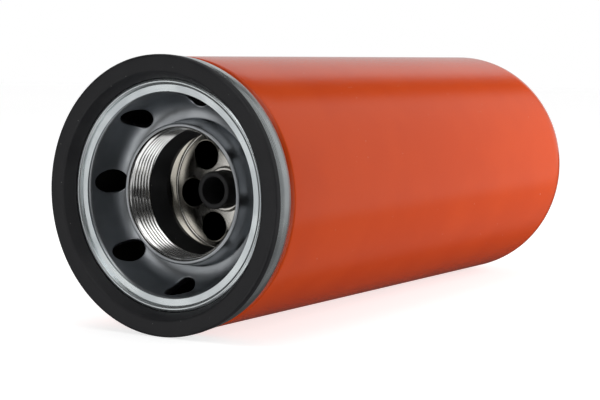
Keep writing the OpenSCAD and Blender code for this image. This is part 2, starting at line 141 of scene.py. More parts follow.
@dataclass(frozen=True)
class Graph:
    """A node tree with short ways to add its nodes."""

    tree: Tree

    def add(self, kind: str, **settings: object) -> Node:
        """Adds a node and sets its properties.

        Args:
            kind: The node's type name.
            settings: Properties of the node by name.

        Returns:
            The new node.
        """
        node = self.tree.nodes.new(kind)
        for name, value in settings.items():
            setattr(node, name, value)
        return node

    def wire(self, source: Socket, target: Socket) -> None:
        """Links an output socket to an input socket."""
        self.tree.links.new(source, target)

    def place(self) -> Socket:
        """Gives the object coordinates in metres."""
        return self.add("ShaderNodeTexCoord").outputs["Object"]

    def noise(self, coords: Socket, scale: float, detail: float = 3.0, rough: float = 0.5) -> Node:
        """Adds a noise texture on the given coordinates.

        Args:
            coords: Coordinates in metres.
            scale: Cells per metre.
            detail: Octaves.
            rough: Weight of the finer octaves.

        Returns:
            The noise node.
        """
        node = self.add("ShaderNodeTexNoise")
        set_inputs(node, Scale=scale, Detail=detail, Roughness=rough)
        self.wire(coords, node.inputs["Vector"])
        return node

    def ramp(self, value: Socket, low: float, high: float, out_low: float = 0.0,
             out_high: float = 1.0) -> Socket:
        """Maps a value smoothly from one range to another, held at both ends.

        Args:
            value: The value to map.
            low: Start of its range.
            high: End of its range.
            out_low: Result at the start.
            out_high: Result at the end.

        Returns:
            The mapped value's socket.
        """
        node = self.add("ShaderNodeMapRange", interpolation_type="SMOOTHSTEP")
        set_inputs(node, From_Min=low, From_Max=high, To_Min=out_low, To_Max=out_high)
        self.wire(value, node.inputs["Value"])
        return node.outputs["Result"]

    def calc(self, operation: str, *values: object) -> Socket:
        """Adds a maths node.

        Args:
            operation: The node's operation.
            values: Sockets or numbers, in order.

        Returns:
            The result's socket.
        """
        node = self.add("ShaderNodeMath", operation=operation)
        for index, value in enumerate(values):
            if isinstance(value, Socket):
                self.wire(value, node.inputs[index])
            else:
                node.inputs[index].default_value = value
        return node.outputs[0]

    def bump(self, height: Socket, strength: Socket, reach: float) -> Socket:
        """Adds a bump node.

        Args:
            height: The height's socket.
            strength: The strength's socket.
            reach: Height of a full step in metres.

        Returns:
            The normal's socket.
        """
        node = self.add("ShaderNodeBump")
        set_inputs(node, Distance=reach)
        self.wire(strength, node.inputs["Strength"])
        self.wire(height, node.inputs["Height"])
        return node.outputs[0]

    def round_axis(self) -> tuple[Socket, ...]:
        """Gives the x, y and z parts of the position, and the distance from the axis, in metres."""
        parts = self.add("ShaderNodeSeparateXYZ")
        self.wire(self.place(), parts.inputs[0])
        x, y, z = parts.outputs
        squares = self.calc("ADD", self.calc("MULTIPLY", x, x), self.calc("MULTIPLY", z, z))
        return x, y, z, self.calc("SQRT", squares)

    def group(self, group: Tree, **values: float) -> Node:
        """Places a node group with its own input values.

        Args:
            group: The group.
            values: Input values, with spaces in names written as underscores.

        Returns:
            The group's node.
        """
        node = self.add("ShaderNodeGroup", node_tree=group)
        set_inputs(node, **values)
        return node

    def mix(self, mask: Socket, low: object, high: object) -> Socket:
        """Mixes two colours by a mask.

        Args:
            mask: The share of the second colour.
            low: A colour or a colour socket.
            high: A colour or a colour socket.

        Returns:
            The mixed colour's socket.
        """
        node = self.add("ShaderNodeMix", data_type="RGBA")
        self.wire(mask, node.inputs[0])
        for socket, value in ((node.inputs[6], low), (node.inputs[7], high)):
            if isinstance(value, Socket):
                self.wire(value, socket)
            else:
                socket.default_value = (*value, 1.0)
        return node.outputs[2]


def new_group(name: str, inputs: dict[str, float], outputs: Sequence[str]) -> tuple[Graph, Node, Node]:
    """Makes a shader node group with float sockets and a vector output where the name is Normal.

    Args:
        name: The group's name.
        inputs: Input names with their default values.
        outputs: Output names.

    Returns:
        The graph, its input node and its output node.
    """
    tree = bpy.data.node_groups.new(name, "ShaderNodeTree")
    for label, value in inputs.items():
        socket = tree.interface.new_socket(label, in_out="INPUT", socket_type="NodeSocketFloat")
        socket.default_value = value
    for label in outputs:
        kind = "NodeSocketVector" if label == "Normal" else "NodeSocketFloat"
        tree.interface.new_socket(label, in_out="OUTPUT", socket_type=kind)
    graph = Graph(tree)
    return graph, graph.add("NodeGroupInput"), graph.add("NodeGroupOutput")


def blank_material(name: str) -> tuple[Material, Graph, Node]:
    """Makes a material with a Principled shader.

    Args:
        name: The material's name.

    Returns:
        The material, its graph and its shader node.
    """
    material = bpy.data.materials.new(name)
    material.use_nodes = True
    return material, Graph(material.node_tree), material.node_tree.nodes["Principled BSDF"]


@dataclass(frozen=True)
class SharedEffects:
    """Effects that several materials use, each a node group built once."""

    grain: Tree
    turned: Tree
    dust: Tree

    @staticmethod
    def build() -> "SharedEffects":
        """Builds the groups."""
        return SharedEffects(grain_group(), turned_group(), dust_group())


def grain_group() -> Tree:
    """A fine grain: bump normal, and a mask of slow patches.

    Returns:
        The node group.
    """
    graph, source, target = new_group(
        "Fine grain", {"Scale": 900.0, "Depth": 0.05, "Patch Scale": 40.0}, ("Patches", "Normal"))
    place = graph.place()
    fine = graph.noise(place, 1.0, detail=4.0, rough=0.6)
    graph.wire(source.outputs["Scale"], fine.inputs["Scale"])
    slow = graph.noise(place, 1.0, detail=2.0)
    graph.wire(source.outputs["Patch Scale"], slow.inputs["Scale"])
    graph.wire(graph.ramp(slow.outputs[0], 0.35, 0.65), target.inputs["Patches"])
    normal = graph.bump(fine.outputs[0], source.outputs["Depth"], BUMP_HEIGHT)
    graph.wire(normal, target.inputs["Normal"])
    return graph.tree


def turned_group() -> Tree:
    """Marks that run round the axis, as on spun or rolled sheet: streak mask and bump normal.

    Returns:
        The node group.
    """
    graph, source, target = new_group(
        "Turned marks", {"Lines": 2500.0, "Depth": 0.1, "Breakup": 12.0}, ("Streaks", "Normal"))
    x, y, z, radius = graph.round_axis()
    across = graph.calc("MULTIPLY", graph.calc("ADD", radius, y), source.outputs["Lines"])
    angle = graph.calc("MULTIPLY", graph.calc("ARCTAN2", z, x), source.outputs["Breakup"])
    place = graph.add("ShaderNodeCombineXYZ")
    graph.wire(across, place.inputs[0])
    graph.wire(graph.calc("COSINE", angle), place.inputs[1])
    streaks = graph.noise(place.outputs[0], 1.0, detail=2.0)
    graph.wire(streaks.outputs[0], target.inputs["Streaks"])
    normal = graph.bump(streaks.outputs[0], source.outputs["Depth"], BUMP_HEIGHT / 2)
    graph.wire(normal, target.inputs["Normal"])
    return graph.tree


def dust_group() -> Tree:
    """Sparse specks of dust.

    Returns:
        The node group.
    """
    graph, source, target = new_group("Dust specks", {"Scale": 700.0, "Amount": 0.1}, ("Specks",))
    place = graph.place()
    cells = graph.add("ShaderNodeTexVoronoi")
    graph.wire(place, cells.inputs["Vector"])
    graph.wire(source.outputs["Scale"], cells.inputs["Scale"])
    picked = graph.calc("LESS_THAN", cells.outputs["Distance"], 0.12)
    chance = graph.add("ShaderNodeSeparateColor")
    graph.wire(cells.outputs["Color"], chance.inputs[0])
    kept = graph.calc("LESS_THAN", chance.outputs[0], source.outputs["Amount"])
    graph.wire(graph.calc("MULTIPLY", picked, kept), target.inputs["Specks"])
    return graph.tree


# ---- Finishes


@dataclass(frozen=True)
class CanPaint:
    """Gloss paint with a fine orange peel; inward faces get a near-black painted shade and no gloss."""

    colour: Colour = (0.60, 0.066, 0.0095)
    deep: Colour = (0.57, 0.060, 0.0085)
    # Near-black painted shade for the inward faces, standing in for the dark inside of the can.
    painted_inside_shade: Colour = (0.03, 0.028, 0.026)
    roughness: float = 0.42
    gloss: float = 0.9
    gloss_roughness: float = 0.07
    gloss_ior: float = 1.5
    under_gloss: float = 0.0

    def build(self, effects: SharedEffects) -> Material:
        """Makes the material."""
        material, graph, shader = blank_material("can_gloss_paint")
        peel = graph.group(effects.grain, Scale=1300.0, Depth=0.3, Patch_Scale=25.0)
        dust = graph.group(effects.dust, Scale=420.0, Amount=0.05)
        paint = graph.mix(peel.outputs["Patches"], self.colour, self.deep)
        specks = graph.calc("MULTIPLY", dust.outputs["Specks"], 0.25)
        dusty = graph.mix(specks, paint, (0.75, 0.6, 0.5))
        # Inward faces swap the paint for the near-black painted shade and lose the gloss.
        inner = graph.add("ShaderNodeAttribute", attribute_name=INNER_FACE).outputs["Fac"]
        graph.wire(graph.mix(inner, dusty, self.painted_inside_shade), shader.inputs["Base Color"])
        graph.wire(graph.calc("MULTIPLY_ADD", inner, -self.gloss, self.gloss), shader.inputs["Coat Weight"])
        graph.wire(peel.outputs["Normal"], shader.inputs["Normal"])
        graph.wire(peel.outputs["Normal"], shader.inputs["Coat Normal"])
        set_inputs(shader, Roughness=self.roughness, Coat_Roughness=self.gloss_roughness,
                   Specular_IOR_Level=self.under_gloss, Coat_IOR=self.gloss_ior)
        return material


@dataclass(frozen=True)
class SheetMetal:
    """Bare, zinc plated or tinned sheet with rolling or turning marks."""

    name: str
    colour: Colour
    dull: Colour
    roughness: float
    spread: float
    lines: float = 2500.0
    depth: float = 0.12
    patch: float = 60.0
    machined_within: float = 0.0
    machined: Colour = (0.82, 0.82, 0.81)

    def build(self, effects: SharedEffects) -> Material:
        """Makes the material."""
        material, graph, shader = blank_material(self.name)
        marks = graph.group(effects.turned, Lines=self.lines, Depth=self.depth, Breakup=7.0)
        cloud = graph.group(effects.grain, Scale=2600.0, Depth=0.05, Patch_Scale=self.patch)
        tone = graph.mix(cloud.outputs["Patches"], self.colour, self.dull)
        graph.wire(tone, shader.inputs["Base Color"])
        rough = graph.calc("MULTIPLY_ADD", marks.outputs["Streaks"], self.spread, self.roughness)
        uneven = graph.calc("MULTIPLY_ADD", cloud.outputs["Patches"], self.spread * 0.5, rough)
        if self.machined_within > 0:
            radius = graph.round_axis()[3]
            cutter = graph.ramp(radius, self.machined_within, self.machined_within + 0.0004, 1.0, 0.0)
            graph.wire(graph.mix(cutter, tone, self.machined), shader.inputs["Base Color"])
            uneven = graph.calc("MULTIPLY", uneven, graph.calc("MULTIPLY_ADD", cutter, -0.6, 1.0))
        graph.wire(uneven, shader.inputs["Roughness"])
        graph.wire(marks.outputs["Normal"], shader.inputs["Normal"])
        set_inputs(shader, Metallic=1.0)
        return material


@dataclass(frozen=True)
class MouldedRubber:
    """Matte moulded rubber or plastic with a faint bloom."""

    name: str
    colour: Colour
    bloom: Colour
    roughness: float
    specular: float = 0.5
    dust: float = 0.04

    def build(self, effects: SharedEffects) -> Material:
        """Makes the material."""
        material, graph, shader = blank_material(self.name)
        skin = graph.group(effects.grain, Scale=1800.0, Depth=0.25, Patch_Scale=70.0)
        dust = graph.group(effects.dust, Scale=600.0, Amount=self.dust)
        tone = graph.mix(skin.outputs["Patches"], self.colour, self.bloom)
        specks = graph.calc("MULTIPLY", dust.outputs["Specks"], 0.35)
        graph.wire(graph.mix(specks, tone, (0.45, 0.45, 0.44)), shader.inputs["Base Color"])
        graph.wire(graph.calc("MULTIPLY_ADD", skin.outputs["Patches"], 0.08, self.roughness),
             shader.inputs["Roughness"])
        graph.wire(skin.outputs["Normal"], shader.inputs["Normal"])
        set_inputs(shader, Specular_IOR_Level=self.specular)
        return material


@dataclass(frozen=True)
class MottledSurface:
    """Filter paper, pressed cellulose or cured adhesive, slightly mottled."""

    name: str
    colour: Colour
    dark: Colour
    scale: float
    depth: float = 0.6
    patch: float = 180.0
    roughness: float = 0.9
    sheen: float = 0.15

    def build(self, effects: SharedEffects) -> Material:
        """Makes the material."""
        material, graph, shader = blank_material(self.name)
        skin = graph.group(effects.grain, Scale=self.scale, Depth=self.depth, Patch_Scale=self.patch)
        graph.wire(graph.mix(skin.outputs["Patches"], self.colour, self.dark), shader.inputs["Base Color"])
        graph.wire(skin.outputs["Normal"], shader.inputs["Normal"])
        set_inputs(shader, Roughness=self.roughness, Sheen_Weight=self.sheen)
        return material


@dataclass(frozen=True)
class Finishes:
    """Every material of the filter, by the record's slots."""

    by_slot: dict[Slot, Material]

    @staticmethod
    def build() -> "Finishes":
        """Makes the shared effects and the materials."""
        effects = SharedEffects.build()
        makers = {
            Slot.CAN: CanPaint(),
            Slot.BARE: SheetMetal(
                "bare_rolled_steel", (0.80, 0.85, 0.86), (0.72, 0.77, 0.79), 0.20, 0.14),
            Slot.ZINC: SheetMetal(
                "zinc_plated_steel", (0.47, 0.49, 0.51), (0.40, 0.42, 0.44), 0.24, 0.14,
                lines=900.0, depth=0.06, machined_within=0.0288),
            Slot.GASKET: MouldedRubber(
                "gasket_moulded_rubber", (0.010, 0.010, 0.012), (0.016, 0.016, 0.018), 0.5),
            Slot.SEAL: MouldedRubber(
                "seal_moulded_rubber", (0.010, 0.010, 0.011), (0.016, 0.016, 0.017), 0.42),
            Slot.CAP: SheetMetal(
                "bright_tinned_sheet", (0.74, 0.72, 0.67), (0.66, 0.64, 0.60), 0.12, 0.10,
                lines=700.0, depth=0.04),
            Slot.NOZZLE: MouldedRubber(
                "nozzle_moulded_plastic", (0.012, 0.012, 0.013), (0.018, 0.017, 0.018), 0.5),
            Slot.PAPER: MottledSurface(
                "pleated_filter_paper", (0.60, 0.47, 0.25), (0.52, 0.39, 0.19), 2600.0),
            Slot.DISC: MottledSurface(
                "pressed_cellulose", (0.48, 0.38, 0.22), (0.36, 0.27, 0.15), 1500.0),
            Slot.ADHESIVE: MottledSurface(
                "cured_adhesive", (0.36, 0.15, 0.04), (0.26, 0.09, 0.02), 500.0,
                depth=0.3, patch=90.0, roughness=0.3, sheen=0.0),
            Slot.SPRING: SheetMetal(
                "drawn_spring_wire", (0.35, 0.35, 0.36), (0.28, 0.28, 0.29), 0.3, 0.15),
        }
        return Finishes({slot: maker.build(effects) for slot, maker in makers.items()})

    def dress(self, piece: Object, slot: Slot) -> None:
        """Gives a piece the material of a slot as its only one."""
        piece.data.materials.clear()
        piece.data.materials.append(self.by_slot[slot])


# ---- Profiles: points are (radius, distance along the axis) in millimetres


def arc(radius: float, along: float, size: float, start: float, end: float, steps: int = 8) -> list[Point2]:
    """Points of an arc in the profile plane.

    Args:
        radius: Radius of the arc's centre from the axis.
        along: Place of the centre along the axis.
        size: The arc's own radius.
        start: First angle in degrees, from the radial direction towards +Y.
        end: Last angle in degrees.
        steps: Number of segments.

    Returns:
        The points.
    """
    turns = [math.radians(start + (end - start) * i / steps) for i in range(steps + 1)]
    return [(radius + size * math.cos(t), along + size * math.sin(t)) for t in turns]


def rounded(corners: Sequence[Point3], closed: bool = True, steps: int = 5) -> list[Point2]:
    """Rounds a path's corners.

    Args:
        corners: Points with the rounding radius of each: radius, along, rounding.
        closed: Whether the last point joins the first.
        steps: Segments in each rounding.

    Returns:
        The rounded path.
    """
    count = len(corners)
    out: list[Point2] = []
    for i, (px, py, size) in enumerate(corners):
        here = Vector((px, py))
        if size <= 0 or (not closed and i in (0, count - 1)):
            out.append((px, py))
            continue
        before = (Vector(corners[i - 1][:2]) - here)
        after = (Vector(corners[(i + 1) % count][:2]) - here)
        half = before.angle(after) / 2
        reach = min(size / math.tan(half), before.length * 0.49, after.length * 0.49)
        first = here + before.normalized() * reach
        last = here + after.normalized() * reach
        for k in range(steps + 1):
            t = k / steps
            out.append(tuple((first * (1 - t) ** 2) + (here * 2 * t * (1 - t)) + (last * t ** 2)))
    return out


def side_of(path: Sequence[Point2], i: int) -> Vector:
    """The unit normal to the right of a path at one of its points."""
    a, b = Vector(path[max(i - 1, 0)]), Vector(path[min(i + 1, len(path) - 1)])
    run = (b - a).normalized()
    return Vector((run.y, -run.x))


def offset(path: Sequence[Point2], distance: float) -> list[Point2]:
    """Moves a path to its right by a distance, point by point."""
    return [tuple(Vector(p) + side_of(path, i) * distance) for i, p in enumerate(path)]


def sheet_outline(path: Sequence[Point2], thickness: float) -> list[Point2]:
    """Closed outline of a sheet: the path and its offset to the right."""
    return list(path) + offset(path, thickness)[::-1]


def spot(radius: float, along: float, angle: float) -> Vector:
    """A point in metres from its radius, its place along the axis, and its angle from +X to +Z."""
    return Vector((radius * math.cos(angle), along, radius * math.sin(angle))) * MM


def finish_mesh(name: str, work: BMesh, sharp: float = 38.0) -> Object:
    """Turns a bmesh into a linked object with smooth faces and sharp corners.

    Args:
        name: The piece's name.
        work: The mesh so far, in metres.
        sharp: Angle in degrees above which an edge stays sharp.

    Returns:
        The object.
    """
    bmesh.ops.remove_doubles(work, verts=work.verts, dist=1e-7)
    bmesh.ops.recalc_face_normals(work, faces=work.faces)
    mesh = bpy.data.meshes.new(name)
    work.to_mesh(mesh)
    work.free()
    mesh.shade_smooth()
    mesh.set_sharp_from_angle(angle=math.radians(sharp))
    piece = bpy.data.objects.new(name, mesh)
    bpy.context.scene.collection.objects.link(piece)
    return piece


def add_revolved(work: BMesh, outline: Sequence[Point2], closed: bool = True,
                 segments: int = 192, first: float = 0.0) -> None:
    """Adds a revolved outline to a mesh.

    Args:
        work: The mesh.
        outline: The profile; a point on the axis closes to one vertex.
        closed: Whether the last point joins the first.
        segments: Segments round the axis.
        first: Angle of the first segment in radians.
    """
    rings = []
    for radius, along in outline:
        if radius < 1e-6:
            rings.append([work.verts.new(spot(0, along, 0))] * segments)
        else:
            turns = [first + math.tau * i / segments for i in range(segments)]
            rings.append([work.verts.new(spot(radius, along, turn)) for turn in turns])
    count = len(rings)
    for i in range(count if closed else count - 1):
        a, b = rings[i], rings[(i + 1) % count]
        for k in range(segments):
            m = (k + 1) % segments
            corner = list(dict.fromkeys((a[k], b[k], b[m], a[m])))
            if len(corner) > 2:
                work.faces.new(corner)


def revolved(name: str, *outlines: Sequence[Point2], segments: int = 192, sharp: float = 38.0) -> Object:
    """Makes a piece from closed outlines turned about the axis.

    Args:
        name: The piece's name.
        outlines: One or more closed outlines.
        segments: Segments round the axis.
        sharp: Angle in degrees above which an edge stays sharp.

    Returns:
        The object.
    """
    work = bmesh.new()
    for outline in outlines:
        add_revolved(work, outline, segments=segments)
    return finish_mesh(name, work, sharp)


@dataclass(frozen=True)
class Hole:
    """A hole in a sheet of revolution, in the sheet's own run and angle.

    Attributes:
        rim: Gives the hole's edge as (run, angle) for a turn from 0 to 1, grown by a margin.
    """

    rim: Callable[[float, float], Point2]


@dataclass
class SheetOfRevolution:
    """A sheet turned about the axis, with holes cut by its own grid.

    Attributes:
        path: Front face of the sheet, from its first edge to its last.
        thickness: Sheet thickness, laid to the right of the path.
        first: Angle in radians where the grid round the axis starts.
    """

    path: Sequence[Point2]
    thickness: float
    first: float = 0.0
    runs: list[float] = field(init=False)

    def __post_init__(self) -> None:
        """Measures the path's run at each of its points."""
        self.runs = [0.0]
        for a, b in zip(self.path, self.path[1:]):
            self.runs.append(self.runs[-1] + math.dist(a, b))

    @property
    def length(self) -> float:
        """Length of the path."""
        return self.runs[-1]

    def at(self, run: float, depth: float) -> Point2:
        """Gives the profile point at a run along the path and a depth into the sheet.

        Args:
            run: Distance along the path.
            depth: Distance to the right of the path.

        Returns:
            The point as radius and place along the axis.
        """
        run = min(max(run, 0.0), self.length)
        i = max(k for k in range(len(self.runs)) if self.runs[k] <= run + 1e-9)
        i = min(i, len(self.path) - 2)
        t = (run - self.runs[i]) / (self.runs[i + 1] - self.runs[i])
        front = Vector(self.path[i]).lerp(Vector(self.path[i + 1]), t)
        normal = side_of(self.path, i).lerp(side_of(self.path, i + 1), t).normalized()
        return tuple(front + normal * depth)

    def put(self, work: BMesh, run: float, angle: float, depth: float) -> BMVert:
        """Adds a vertex of the sheet."""
        return work.verts.new(spot(*self.at(run, depth), angle))

    def add_cell(self, work: BMesh, start: float, end: float, low: float, high: float,
                 hole: Hole, across: int, along: int, edge: float, rings: int = 7) -> None:
        """Adds one cell of the sheet, front, back and the wall of its hole.

        Args:
            work: The mesh.
            start: First run of the cell.
            end: Last run.
            low: First angle in radians.
            high: Last angle.
            hole: The hole inside the cell.
            across: Segments along the cell's angle.
            along: Segments along the cell's run.
            edge: Rounding of the hole's front edge.
            rings: Grid rings between the hole and the cell's border.
        """
        border = []
        for i in range(across):
            border.append((start, low + (high - low) * i / across))
        for i in range(along):
            border.append((start + (end - start) * i / along, high))
        for i in range(across):
            border.append((end, high - (high - low) * i / across))
        for i in range(along):
            border.append((end - (end - start) * i / along, low))
        count = len(border)
        radius = self.at((start + end) / 2, 0)[0]
        centre = ((start + end) / 2, (low + high) / 2)
        turns = [math.atan2((a - centre[1]) * radius, r - centre[0]) / math.tau for r, a in border]
        loops = []
        for depth in (self.thickness, edge + (self.thickness - edge) * 0.4):
            loops.append([(*hole.rim(t, 0.0), depth) for t in turns])
        for k in range(EDGE_STEPS + 1):
            bend = math.pi / 2 * k / EDGE_STEPS
            grow = edge * (1 - math.cos(bend))
            loops.append([(*hole.rim(t, grow), edge * (1 - math.sin(bend))) for t in turns])
        for front, loop_depth in ((True, 0.0), (False, self.thickness)):
            margin = edge if front else 0.0
            spread = []
            for k in range(1, rings + 1):
                mix = (k / rings) ** RING_GROWTH
                loop = []
                for t, (far_run, far_angle) in zip(turns, border):
                    run, angle = hole.rim(t, margin)
                    loop.append((run + (far_run - run) * mix, angle + (far_angle - angle) * mix, loop_depth))
                spread.append(loop)
            loops = loops + spread if front else spread[::-1] + loops
        rings_of_verts = [[self.put(work, *p) for p in loop] for loop in loops]
        for a, b in zip(rings_of_verts, rings_of_verts[1:]):
            for k in range(count):
                m = (k + 1) % count
                work.faces.new((a[k], a[m], b[m], b[k]))

    def add_plain(self, work: BMesh, start: float, end: float, segments: int,
                  close_start: bool = False, close_end: bool = False) -> None:
        """Adds a stretch of the sheet without holes.

        Args:
            work: The mesh.
            start: First run.
            end: Last run.
            segments: Segments round the axis.
            close_start: Whether the first edge gets its end face.
            close_end: Whether the last edge gets its end face.
        """
        stops = [start] + [r for r in self.runs if start + 1e-6 < r < end - 1e-6] + [end]
        front = [self.at(r, 0) for r in stops]
        back = [self.at(r, self.thickness) for r in stops]
        strips = [front, back]
        if close_start:
            strips.append([front[0], back[0]])
        if close_end:
            strips.append([front[-1], back[-1]])
        for strip in strips:
            add_revolved(work, strip, closed=False, segments=segments, first=self.first)


def slot_hole(run: float, angle: float, half_length: float, half_width: float, radius: float) -> Hole:
    """A long oval hole, its length along the sheet's run.

    Args:
        run: Run of its middle.
        angle: Angle of its middle in radians.
        half_length: Half its length.
        half_width: Half its width.
        radius: Radius from the axis at its middle.

    Returns:
        The hole.
    """
    def rim(turn: float, margin: float) -> Point2:
        """Edge point of the oval."""
        t = math.tau * turn
        power, taper = 0.9, 0.2
        c, s = math.cos(t), math.sin(t)
        reach = (half_length + margin) * math.copysign(abs(c) ** power, c)
        side = (half_width * (1 + taper * c) + margin) * math.copysign(abs(s) ** power, s)
        return run + reach, angle + side / radius
    return Hole(rim)


def round_hole(inner: float, pitch: float, angle: float, size: float) -> Hole:
    """A round hole in a flat floor.

    Args:
        inner: Radius where the floor's run starts.
        pitch: Radius of the hole's middle.
        angle: Angle of its middle in radians.
        size: Radius of the hole.

    Returns:
        The hole.
    """
    def rim(turn: float, margin: float) -> Point2:
        """Edge point of the circle."""
        t = math.tau * turn
        x, side = pitch - (size + margin) * math.cos(t), (size + margin) * math.sin(t)
        return math.hypot(x, side) - inner, angle + math.atan2(side, x)
    return Hole(rim)


# ---- Sub-assemblies


@dataclass
class Layout:
    """Main sizes of the filter in millimetres, read from the frame."""

    can_r: float
    seam_r: float
    gasket_r: float
    face: float
    end: float
    seam_top: float
    seam_end: float
    plate_back: float
    cap_y: float
    cap_r: float
    nozzle_top: float
    nozzle_end: float

    @staticmethod
    def read() -> "Layout":
        """Reads the sizes from the frame's boxes."""
        def span(node: str, axis: int) -> Point2:
            """Lowest and highest value of a node's box on one axis, in millimetres."""
            low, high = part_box(node)
            return low[axis] / MM, high[axis] / MM
        return Layout(
            can_r=span("shell", 2)[1],
            seam_r=span("seam_lid", 2)[1],
            gasket_r=span("gasket", 2)[1],
            face=span("gasket", 1)[0],
            end=span("shell", 1)[1],
            seam_top=span("seam_lid", 1)[0],
            seam_end=span("seam_lid", 1)[1],
            plate_back=span("nut_plate", 1)[1],
            cap_y=span("top_cap", 1)[0],
            cap_r=span("top_cap", 2)[1],
            nozzle_top=span("bypass_nozzle", 1)[0],
            nozzle_end=span("bypass_nozzle", 1)[1],
        )


@dataclass
class Piece:
    """What a new mesh stands for."""

    node: str
    body: Body
    slot: Slot

    def adopt(self, mesh: Object, finishes: Finishes) -> Object:
        """Dresses a mesh, ties it to its body and lets it stand for its node.

        Args:
            mesh: The new piece.
            finishes: The materials.

        Returns:
            The same piece.
        """
        finishes.dress(mesh, self.slot)
        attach(mesh, self.body.value)
        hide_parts(self.node)
        LOG.info("%s: %d faces", mesh.name, len(mesh.data.polygons))
        return mesh


@dataclass
class Can:
    """The drawn can with its rounded closed end."""

    layout: Layout
    corner: float = 29.4
    wall: float = 0.9
    neck: float = 2.5
    hook: float = 4.5
    shoulder: float = 1.8
    segments: int = 256

    def build(self, finishes: Finishes) -> None:
        """Builds the can from its hidden hook to its closed end."""
        r, end = self.layout.can_r, self.layout.end
        mouth = self.layout.seam_end + 0.5
        neck_r = r - self.neck
        outside = rounded([
            (neck_r, mouth - self.hook, 0), (neck_r, mouth, 0.9), (r, mouth + self.shoulder, 1.6),
            (r, mouth + 12, 0)], closed=False)
        outside += arc(r - self.corner, end - self.corner, self.corner, 0, 90, 40)
        outside += [((r - self.corner) * 0.5, end), (0.0, end)]
        inside = arc(r - self.corner, end - self.corner, self.corner - self.wall, 90, 0, 24)
        inside += [(r - self.wall, mouth + self.shoulder), (neck_r - self.wall, mouth)]
        inside += [(neck_r - self.wall, mouth - self.hook)]
        outline = outside + [(0.0, end - self.wall)] + inside
        work = bmesh.new()
        add_revolved(work, outline, segments=self.segments)
        can = finish_mesh("painted_can", work)
        self.mark_inside(can)
        Piece("shell", Body.HOUSING, Slot.CAN).adopt(can, finishes)

    @staticmethod
    def mark_inside(can: Object) -> None:
        """Marks the faces that look inwards, which the paint shader turns to a near-black painted shade.

        Args:
            can: The can.
        """
        mark = can.data.attributes.new(INNER_FACE, "FLOAT", "FACE")
        middle = Vector((0.0, 0.12, 0.0))
        for face in can.data.polygons:
            mark.data[face.index].value = float(face.normal.dot(face.center - middle) < 0)


@dataclass
class SealingEnd:
    """The seam lid and the gasket in its groove."""

    layout: Layout
    sheet: float = 0.7
    groove_w: float = 5.9
    groove_depth: float = 9.7
    bead_r: float = 1.35
    ring_w: float = 2.9
    ring_depth: float = 6.9
    seam_wall: float = 3.74
    segments: int = 256

    @property
    def groove_out(self) -> float:
        """Outer radius of the gasket's groove."""
        return self.layout.seam_r - self.seam_wall

    @property
    def groove_in(self) -> float:
        """Inner radius of the gasket's groove."""
        return self.groove_out - self.groove_w

    def lid(self, finishes: Finishes) -> None:
        """Builds the seam lid as one sheet from its rolled edge to its flat ring."""
        top, end, r = self.layout.seam_top, self.layout.seam_end, self.layout.seam_r
        floor = self.layout.face + self.groove_depth
        ring = self.layout.face + self.ring_depth
        bead = self.groove_in - self.bead_r
        length = end - top
        ring_out = self.groove_in - 2 * self.bead_r
        path = rounded([
            (ring_out - self.ring_w, ring, 0), (ring_out + 0.1, ring, 0.25), (bead - 1.2, ring - 1.0, 0.5),
            (bead, ring - self.bead_r - 0.15, 1.1), (self.groove_in - 0.1, ring - 0.9, 0.5),
            (self.groove_in, ring + 0.2, 0.5), (self.groove_in, floor, 0.6), (self.groove_out, floor, 0.6),
            (self.groove_out, top, 0.8), (r - 0.75, top, 1.0), (r - 0.02, top + 0.36 * length, 5.0),
            (r - 0.1, top + 0.66 * length, 5.0), (r - 1.0, end, 1.3), (r - 2.6, end - 0.1, 0)],
            closed=False, steps=8)
        outline = sheet_outline(path, -self.sheet)
        lid = revolved("seam_lid_sheet", outline, segments=self.segments)
        Piece("seam_lid", Body.HOUSING, Slot.BARE).adopt(lid, finishes)

    def gasket(self, finishes: Finishes) -> None:
        """Builds the gasket: foot, rim, flat face and sloping inner side."""
        r, face, top = self.layout.gasket_r, self.layout.face, self.layout.seam_top
        floor = face + self.groove_depth
        foot_in, foot_out = self.groove_in + 0.1, self.groove_out - 0.1
        face_in = r - 1.2 - 5.8
        outline = rounded([
            (foot_in, floor, 0.4), (foot_in, face + self.ring_depth - self.bead_r + 0.1, 0.5),
            (face_in - 0.2, face, 1.4), (r, face, 1.5), (r, top - 0.05, 0.8), (foot_out, top - 0.05, 0.1),
            (foot_out, floor, 0.4)], steps=7)
        gasket = revolved("sealing_gasket", outline, segments=self.segments)
        Piece("gasket", Body.HOUSING, Slot.GASKET).adopt(gasket, finishes)


